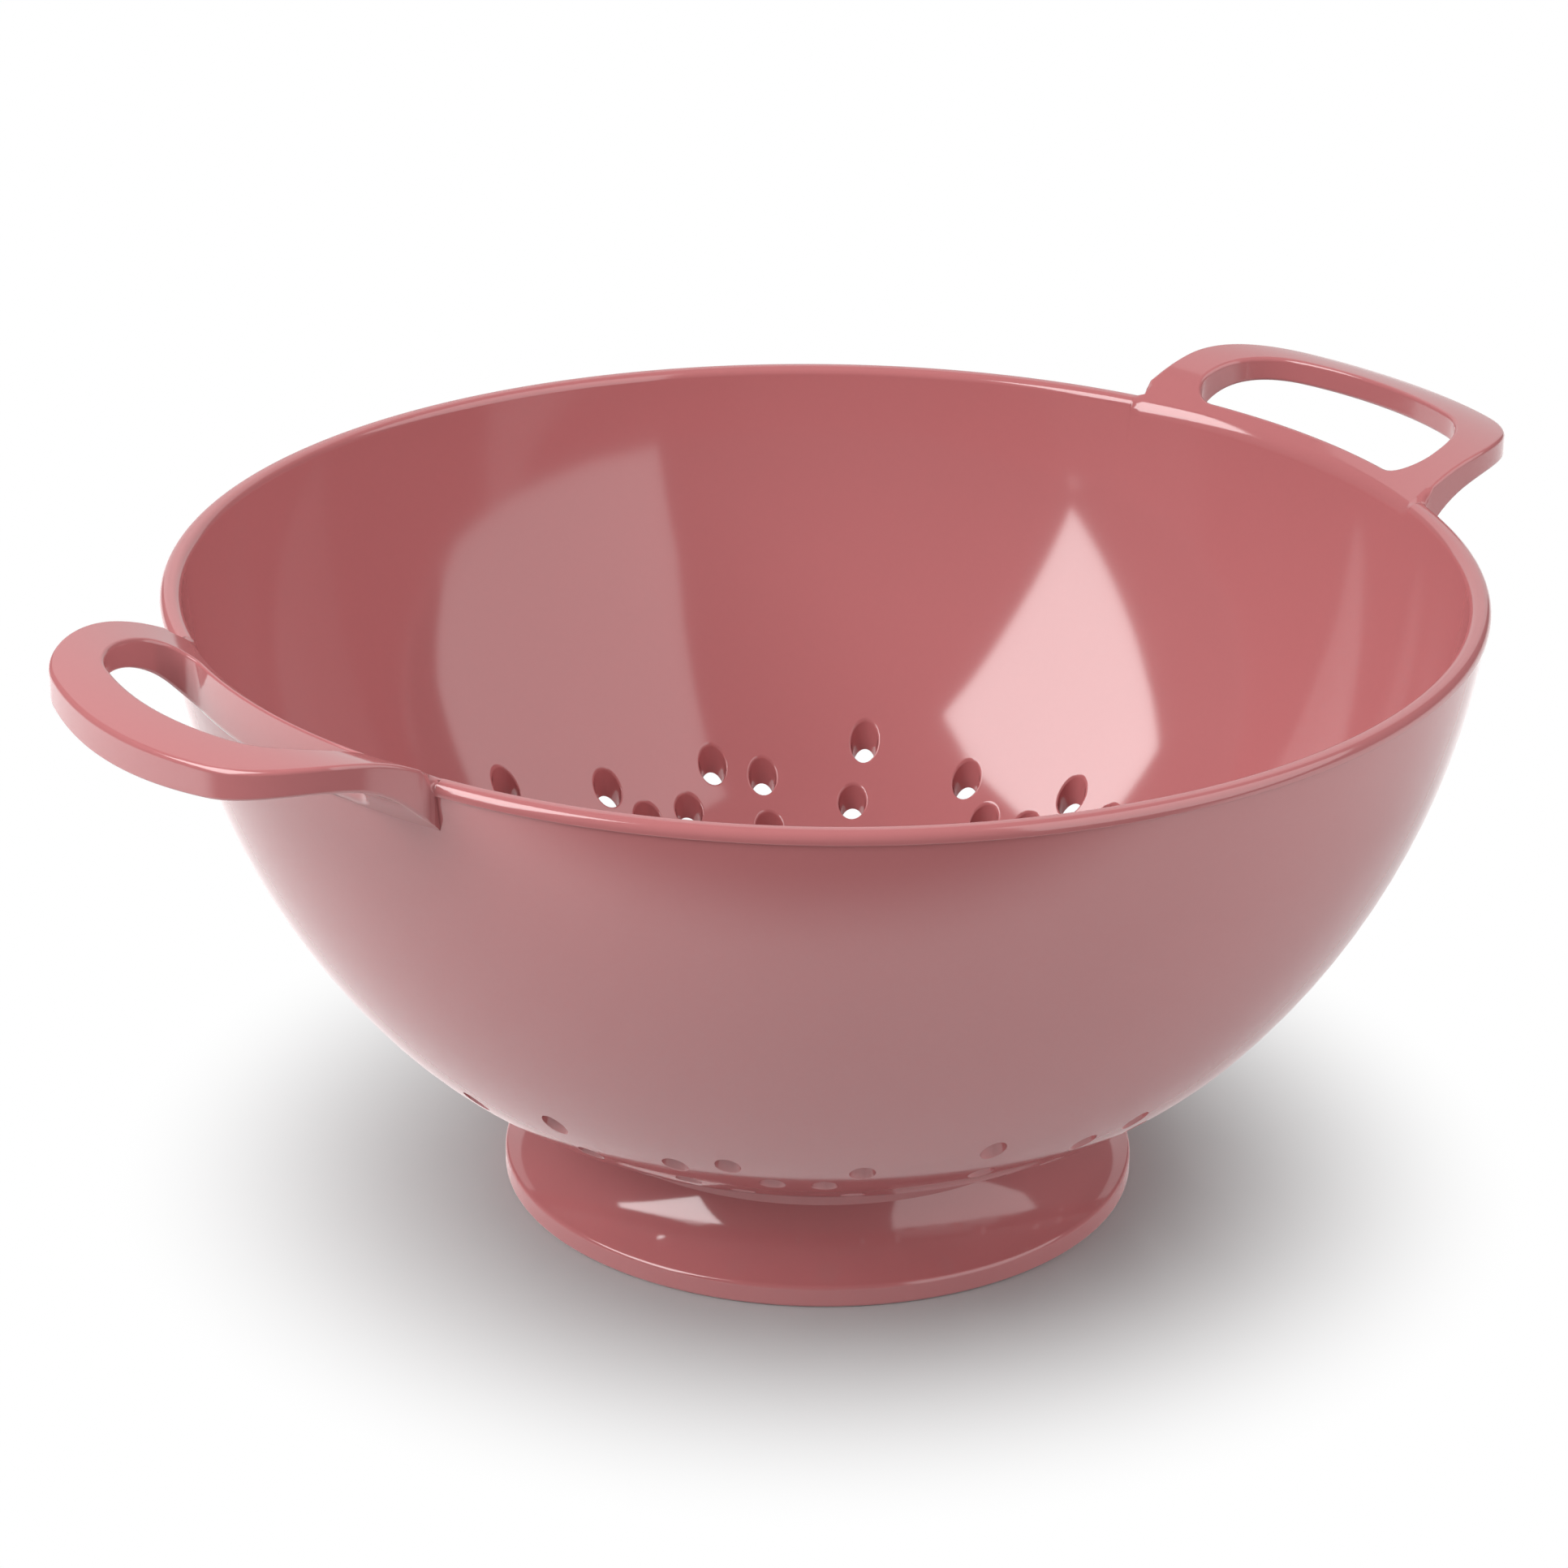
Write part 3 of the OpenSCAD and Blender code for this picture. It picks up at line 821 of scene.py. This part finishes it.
def outline():
    """The handle seen from above, counter-clockwise, with its edge rounding at each place."""
    dome_c = np.array([reach - DOME_R, 0.0])
    arm = DOME_R - SHOULDER_R
    dome_turn = math.asin((HANDLE_W / 2 - SHOULDER_R) / arm)
    shoulder = dome_c + arm * np.array([math.cos(dome_turn), math.sin(dome_turn)])
    fillet = (rim_r + ROOT_FILLET) * np.array([math.cos(root_half), math.sin(root_half)])
    flank = np.linspace([shoulder[0], HANDLE_W / 2], [fillet[0], HANDLE_W / 2], 9)
    free = np.vstack([
        plan_arc(dome_c, DOME_R, 0.0, dome_turn),
        plan_arc(shoulder, SHOULDER_R, dome_turn, math.pi / 2)[1:],
        flank[1:-1],
        plan_arc(fillet, ROOT_FILLET, 1.5 * math.pi, math.pi + root_half, gap=0.5),
    ])
    # The free edge's rounding dies away over the last few places before the seam
    fading = 6
    edge = np.full(len(free), HANDLE_EDGE)
    edge[-fading:] = np.linspace(HANDLE_EDGE, SEAM_EDGE, fading)
    # Places along the root's end, from the rim's outside inward
    first_step = 0.6
    end_radii = np.concatenate([
        [rim_r - SEAM_EDGE * 1.2],
        np.linspace(rim_r - first_step, inner_r + INNER_EDGE, 4),
        inner_r + INNER_EDGE * (1 - np.sin(edge_turns[::-1][1:])),
    ])
    way = np.array([math.cos(root_half), math.sin(root_half)])
    half = np.vstack([free, end_radii[:, None] * way])
    edge = np.concatenate([edge, np.full(len(end_radii), SEAM_EDGE)])
    close = root_half - 1.5 * SEAM_EDGE / inner_r
    inner = plan_arc([0, 0], inner_r, close, -close, gap=2.0)
    loop = np.vstack([half, inner, mirrored(half)[:-1]])
    edges = np.concatenate([edge, np.zeros(len(inner)), edge[::-1][:-1]])
    return loop, edges


def slot_outline():
    """The finger slot seen from above, counter-clockwise."""
    centre = np.array([reach - GRIP_W - SLOT_DOME_R, 0.0])
    arm = SLOT_DOME_R - SLOT_SHOULDER_R
    dome_turn = math.asin((SLOT_L / 2 - SLOT_SHOULDER_R) / arm)
    shoulder = centre + arm * np.array([math.cos(dome_turn), math.sin(dome_turn)])
    corner_r = (shoulder[0] ** 2 + (SLOT_L / 2) ** 2 - rim_r**2) / (2 * rim_r + SLOT_L)
    corner = np.array([shoulder[0], SLOT_L / 2 - corner_r])
    corner_turn = math.atan2(corner[1], corner[0])
    half = np.vstack([
        plan_arc(centre, SLOT_DOME_R, 0.0, dome_turn),
        plan_arc(shoulder, SLOT_SHOULDER_R, dome_turn, math.pi / 2)[1:],
        plan_arc(corner, corner_r, math.pi / 2, math.pi + corner_turn, gap=0.8)[1:],
    ])
    inner = plan_arc([0, 0], rim_r, corner_turn, -corner_turn, gap=1.6)[1:-1]
    return np.vstack([half, inner, mirrored(half)[:-1]])


MITRE_LIMIT = 0.3


def inward_ways(loop, solid_left):
    """Mitred steps into the solid at each place of a closed loop."""
    before, after = loop - np.roll(loop, 1, 0), np.roll(loop, -1, 0) - loop
    ways = []
    for step in (before, after):
        step = step / np.linalg.norm(step, axis=1)[:, None]
        ways.append(np.stack([-step[:, 1], step[:, 0]], 1) * (1 if solid_left else -1))
    mean = ways[0] + ways[1]
    return mean / np.maximum((mean * ways[0]).sum(1), MITRE_LIMIT)[:, None]


ARC_MARGIN = 0.532
GRID_STEP, GRID_SPAN, GRID_CLEAR = 1.9, 2.2, 0.9
GRID_HALF = 0.36


def handle_mesh():
    """One handle: top and underside over the same plan, joined by the free edges."""
    edge_loop, edge_round = outline()
    slot_loop = slot_outline()
    loops = [(edge_loop, edge_round, inward_ways(edge_loop, True))]
    slot_round = np.full(len(slot_loop), HANDLE_EDGE)
    loops.append((slot_loop, slot_round, inward_ways(slot_loop, False)))
    shrunk = [loop + ways * rounding[:, None] for loop, rounding, ways in loops]
    # Arcs where the top's inner edge bends and where the gusset starts
    bends = inner_r + INNER_EDGE * (1 - np.sin(edge_turns[1:]))
    half = root_half - ARC_MARGIN / rim_r
    arcs = [plan_arc([0, 0], r, -half, half, gap=1.6) for r in (*bends, gusset_foot[0])]
    boundary = np.vstack(shrunk + arcs)

    def keep(places):
        return inside(places, shrunk[0]) & ~inside(places, shrunk[1])

    grid = []
    for r in np.arange(rim_r + GRID_CLEAR, reach, GRID_STEP):
        steps = int(2 * r * GRID_HALF / GRID_SPAN)
        grid.append(r * circle(np.linspace(-GRID_HALF, GRID_HALF, steps)))
    grid = np.vstack(grid)
    grid = grid[keep(grid)]
    away = np.linalg.norm(grid[:, None] - boundary[None], axis=2).min(1)
    lines = [(s, True) for s in shrunk] + [(a, False) for a in arcs]
    plan, triangles = fill(lines, grid[away > GRID_CLEAR], keep)
    points, faces, normals = [], [], []
    for top in (True, False):
        first = len(points)
        p, n = handle_places(plan, np.zeros(len(plan)), 0.0, None, top)
        points += list(p)
        normals += list(n)
        faces += [tuple(i + first for i in f) for f in triangles]
    for loop, rounding, ways in loops:
        rows = []
        count = len(loop)
        out = -ways / np.linalg.norm(ways, axis=1)[:, None]
        for top, steps in ((True, edge_turns[::-1]), (False, edge_turns)):
            for step in steps:
                rows.append(len(points))
                at = loop + ways * (rounding * (1 - math.sin(step)))[:, None]
                lean = np.where(rounding > 0, step, 0.0)
                p, n = handle_places(at, lean, rounding, out, top)
                points += list(p)
                normals += list(n)
            if top:
                rows += inner_wall_rows(points, normals, loop, rounding, out)
        for low, high in zip(rows[:-1], rows[1:]):
            for k in range(count):
                m = (k + 1) % count
                faces.append((low + k, low + m, high + m, high + k))
    return points, faces, normals


def handle_places(at, lean, rounding, out, top):
    """Lifts places of the plan to the top or the underside, with their directions."""
    r = np.linalg.norm(at, axis=1)
    way = at / r[:, None]
    if top:
        z, normal = top_face(at)
    else:
        z, outward, up = under_face(r)
        normal = np.column_stack([way * outward[:, None], up])
        share = np.clip((gusset_foot[0] - r) / (gusset_foot[0] - inner_r), 0.0, 1.0)
        at = at - way * (share * ledge_shift)[:, None]
    z = z - (1 if top else -1) * rounding * (1 - np.cos(lean))
    if out is not None:
        normal = normal * np.cos(lean)[:, None]
        normal[:, :2] += out * np.sin(lean)[:, None]
    return np.column_stack([at, z]), normal / np.linalg.norm(normal, axis=1)[:, None]


WALL_LEVELS = (0.0, 0.34, 0.67, 1.0)


def inner_wall_rows(points, normals, loop, rounding, out):
    """Rows down the root's inner wall, which lies flush with the inside of the bowl."""
    rows = []
    radius = np.linalg.norm(loop, axis=1)
    way = loop / radius[:, None]
    is_wall = rounding == 0
    top_z = top_height(loop[:, 0], loop[:, 1]) - rounding
    share = np.clip((gusset_foot[0] - radius) / (gusset_foot[0] - inner_r), 0.0, 1.0)
    low_z = under_face(radius)[0] + rounding
    for level in WALL_LEVELS:
        z = top_z + (low_z - top_z) * level
        wall = np.array([wall_radius(h, WALL) for h in z])
        r = radius - share * (inner_r - wall)
        level_way = np.where(is_wall[:, None], -way, out)
        normal = np.column_stack([level_way, np.zeros(len(loop))])
        drop = (side_c[1] - z) / (SIDE_R - WALL)
        normal[is_wall, 2] = drop[is_wall]
        rows.append(len(points))
        points += list(np.column_stack([way * r[:, None], z]))
        normals += list(normal / np.linalg.norm(normal, axis=1)[:, None])
    return rows


handle_melamine = melamine("handle_melamine")
handle_points, handle_faces, handle_normals = handle_mesh()
for name, flip in (("handle_right", 1.0), ("handle_left", -1.0)):
    half_turn = np.array([flip, flip, 1.0])
    piece = mesh_piece(
        name + "_loop",
        np.array(handle_points) * half_turn,
        handle_faces,
        np.array(handle_normals) * half_turn,
        handle_melamine,
    )
    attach(piece, "root")
    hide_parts(name)

# The studio
# White paper under soft light, with large white panels that the glossy bowl mirrors as
# pale patches. Only the camera and mirrored rays see the paper's faked white and dark: to
# the camera the paper is greyer near the object, painted shade that deepens the cast
# shadows, and plain white further out; mirrored rays see a painted reflection of it.
scene = bpy.context.scene
scene.view_settings.view_transform = "Standard"

WHITE = (1.0, 1.0, 1.0, 1.0)
# The paper's colour for the camera, greyer than white: painted shade that deepens the cast
# shadows near the object
PAPER_PAINTED_SHADE = (0.445, 0.45, 0.452, 1.0)
# The paper's colour in mirrored rays, brighter than white paper can be: a painted reflection
PAPER_PAINTED_REFLECTION = (1.25, 1.25, 1.25, 1.0)
# Metres from the bowl's axis where the shadow and its painted shade give way to white, and
# metres towards the camera where the mirrored paper gives way to a painted dark reflection
SHADOW_FADE = (0.055, 0.135)
DARK_FADE = (0.17, 0.26)
# A dark glow that mirrored rays see towards the camera: a painted dark reflection
PAINTED_DARK_REFLECTION = 0.1


def glow(tree, strength):
    """Plain white light."""
    return node(tree, "ShaderNodeEmission", sockets={"Color": WHITE, "Strength": strength})


def floor_paper():
    """White paper: it keeps its cast shadows near the object, deepened there by a greyer colour
    as painted shade, and is plain white further out.

    Mirrored rays see a painted reflection of it: brighter than white, but a painted dark towards
    the camera, as in a dim room.
    """
    material, tree = blank_material("floor_paper")
    place = node(tree, "ShaderNodeTexCoord", output="Object")

    def vector(operation, *vectors, output=0):
        settings = {"operation": operation}
        return node(tree, "ShaderNodeVectorMath", settings, dict(enumerate(vectors)), output)

    def fade(value, limits):
        settings = {"interpolation_type": "SMOOTHSTEP"}
        sockets = {"Value": value, "From Min": limits[0], "From Max": limits[1]}
        return node(tree, "ShaderNodeMapRange", settings, sockets)

    def mix(share, first, second):
        return node(tree, "ShaderNodeMixShader", sockets={0: share, 1: first, 2: second})

    distance = vector("LENGTH", vector("MULTIPLY", place, (1.0, 1.0, 0.0)), output="Value")
    toward = vector("DOT_PRODUCT", place, camera_way, output="Value")
    seen = node(tree, "ShaderNodeLightPath", output="Is Camera Ray")
    in_gloss = node(tree, "ShaderNodeLightPath", output="Is Glossy Ray")
    papers = {0: in_gloss, 6: PAPER_PAINTED_SHADE, 7: PAPER_PAINTED_REFLECTION}
    colour = node(tree, "ShaderNodeMix", {"data_type": "RGBA"}, papers, 2)
    paper = node(tree, "ShaderNodeBsdfDiffuse", sockets={"Color": colour})
    lit = mix(seen * fade(distance, SHADOW_FADE), paper, glow(tree, 1.0))
    whole = mix(in_gloss * fade(toward, DARK_FADE), lit, glow(tree, PAINTED_DARK_REFLECTION))
    node(tree, "ShaderNodeOutputMaterial", sockets={"Surface": whole})
    return material


FLOOR_HALF = 4.0
floor_mesh = bpy.data.meshes.new("floor")
floor_signs = ((-1, -1), (1, -1), (1, 1), (-1, 1))
floor_corners = [(FLOOR_HALF * u, FLOOR_HALF * v, 0.0) for u, v in floor_signs]
floor_mesh.from_pydata(floor_corners, [], [(0, 1, 2, 3)])
floor_mesh.materials.append(floor_paper())
floor = bpy.data.objects.new("floor", floor_mesh)
scene.collection.objects.link(floor)

# The sky's light, what the camera sees on top of it, and what mirrored rays lack
SKY, SKY_SEEN, SKY_UNMIRRORED = 0.27, 0.8, 0.12
world = bpy.data.worlds.new("studio")
scene.world = world
world.use_nodes = True
sky = world.node_tree
sky.nodes.clear()
seen = node(sky, "ShaderNodeLightPath", output="Is Camera Ray")
in_gloss = node(sky, "ShaderNodeLightPath", output="Is Glossy Ray")
strength = seen * SKY_SEEN + SKY - in_gloss * SKY_UNMIRRORED
light = node(sky, "ShaderNodeBackground", sockets={"Color": WHITE, "Strength": strength})
node(sky, "ShaderNodeOutputWorld", sockets={"Surface": light})


PANEL_AIM = Vector((0.0, 0.0, 0.08))


def panel(name, azimuth, elevation, distance, corners, strength, reflected=True):
    """A flat light that faces the bowl, its corners as (right, up) shares of its distance."""
    a, e = math.radians(azimuth), math.radians(elevation)
    away = Vector((math.cos(a) * math.cos(e), math.sin(a) * math.cos(e), math.sin(e)))
    right = Vector((0, 0, 1)).cross(-away).normalized()
    up = right.cross(away)
    middle = PANEL_AIM + away * distance
    mesh = bpy.data.meshes.new(name)
    places = [middle + (right * u + up * v) * distance for u, v in corners]
    mesh.from_pydata(places, [], [tuple(range(len(corners)))])
    material, tree = blank_material(name)
    node(tree, "ShaderNodeOutputMaterial", sockets={"Surface": glow(tree, strength)})
    mesh.materials.append(material)
    light = bpy.data.objects.new(name, mesh)
    scene.collection.objects.link(light)
    light.visible_camera = False
    light.visible_shadow = False
    light.visible_glossy = reflected


RIGHT_SHAPE = (
    (-0.2, -0.49), (0.48, -0.49), (0.42, 0.0), (0.24, 0.5), (0.1, 0.9),
    (-0.5, 0.9), (-0.95, 0.5), (-0.72, 0.02), (-0.36, -0.36),
)
LEFT_SHAPE = ((-0.29, -0.46), (0.44, -0.03), (0.45, 0.45), (-0.35, 0.30))
BACK_SHAPE = ((-0.6, -0.6), (0.6, -0.6), (0.6, 0.45), (-0.6, 0.45))
TOP_SHAPE = ((-0.3, -0.3), (0.3, -0.3), (0.3, 0.3), (-0.3, 0.3))
panel("panel_right", -72, 25, 1.5, RIGHT_SHAPE, 1.8)
panel("panel_left", 166, 36, 1.3, LEFT_SHAPE, 6.5)
panel("panel_back", 51, 28, 1.7, BACK_SHAPE, 0.8)
panel("panel_top", 0, 89, 1.5, TOP_SHAPE, 1.2, False)
